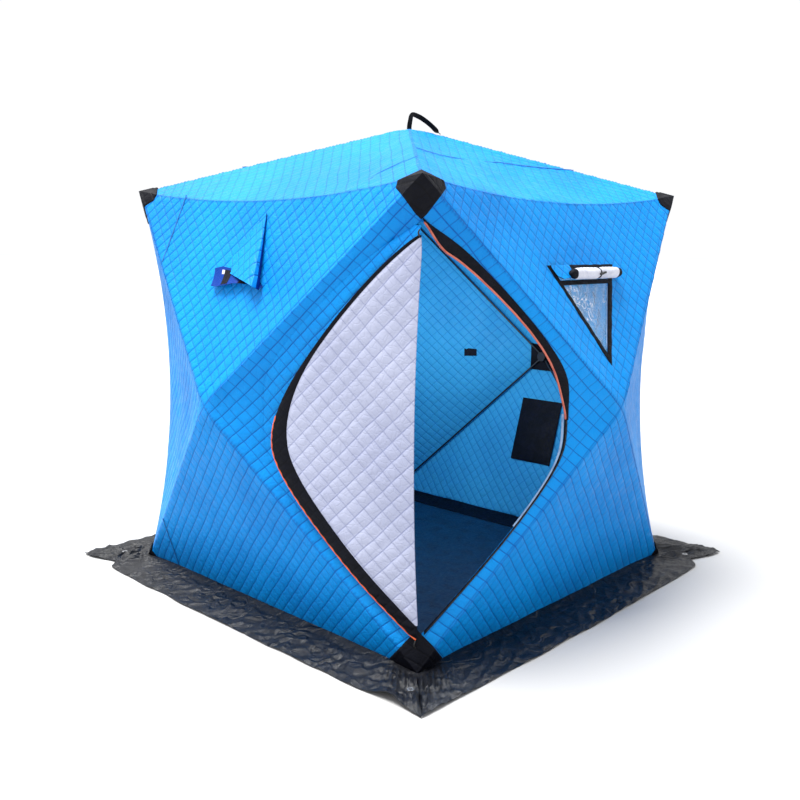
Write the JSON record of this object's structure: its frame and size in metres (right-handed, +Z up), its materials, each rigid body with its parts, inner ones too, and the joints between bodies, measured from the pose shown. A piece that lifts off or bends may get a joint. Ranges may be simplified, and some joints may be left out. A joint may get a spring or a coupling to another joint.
{
  "type": "pop-up hub ice fishing shelter",
  "caption": "Quilted fabric ice fishing hut on a hub-and-rod frame, with a lens-shaped corner door folded half open, triangular windows and a wide snow skirt.",
  "frame": {"origin": "middle of the floor, on the ground", "axes": "+Z up; the front wall faces -Y, the left wall faces -X, and the door is on the corner between them"},
  "size_m": [2.36, 2.36, 2.1284],
  "materials": {
    "blue_quilt": "quilted polyester, blue, sewn in diamonds",
    "white_lining": "quilted pale lining",
    "black_patch": "heavy black cloth with stitched seams",
    "skirt_cloth": "black coated cloth, creased",
    "floor_cloth": "dark blue-grey coated cloth",
    "border_cloth": "dark navy coated cloth",
    "black_trim": "black cloth tape",
    "black_webbing": "black woven webbing",
    "orange_piping": "orange cord piping",
    "clear_pane": "clear flexible sheet, creased",
    "rod_fibre": "dark glass-fibre rod",
    "black_plastic": "moulded black plastic",
    "eyelet_metal": "bright metal eyelets"
  },
  "bodies": {
    "shelter": {"front_wall": "blue_quilt", "front_door_surround": "blue_quilt", "left_wall": "blue_quilt", "left_door_surround": "blue_quilt", "right_wall": "blue_quilt", "back_wall": "blue_quilt", "roof": "blue_quilt", "door_fixed_half": "blue_quilt", "front_rods": "rod_fibre", "left_rods": "rod_fibre", "right_rods": "rod_fibre", "back_rods": "rod_fibre", "roof_rods": "rod_fibre", "hubs": "black_plastic", "corner_sockets": "black_plastic", "top_corner_patches": "black_patch", "bottom_corner_patches": "black_patch", "front_skirt": "skirt_cloth", "left_skirt": "skirt_cloth", "right_skirt": "skirt_cloth", "back_skirt": "skirt_cloth", "skirt_eyelets": "eyelet_metal", "floor_sheet": "floor_cloth", "floor_border": "border_cloth", "storm_strip": "black_trim", "storm_strip_piping": "orange_piping", "door_zip": "black_trim", "front_window_frame": "black_trim", "front_window_pane": "clear_pane", "front_window_flap": "white_lining", "back_window_frame": "black_trim", "back_window_pane": "clear_pane", "back_window_flap": "white_lining", "window_toggles": "black_plastic", "left_vent_pane": "clear_pane", "left_vent_flap": "blue_quilt", "right_vent_pane": "clear_pane", "right_vent_flap": "blue_quilt", "roof_strap": "black_webbing", "hub_straps": "black_webbing", "wall_pocket": "black_trim", "wall_tag": "black_trim"},
    "leaf": {"door_leaf": "white_lining", "door_leaf_band": "black_trim", "door_leaf_piping": "orange_piping", "zip_pulls": "black_plastic"}
  },
  "joints": [
    {"name": "door_fold", "type": "hinge", "parent": "shelter", "child": "leaf", "pos_m": [-0.893, -0.893, 0.8], "axis": [0, 0, 1], "range_deg": [0, 232]}
  ]
}
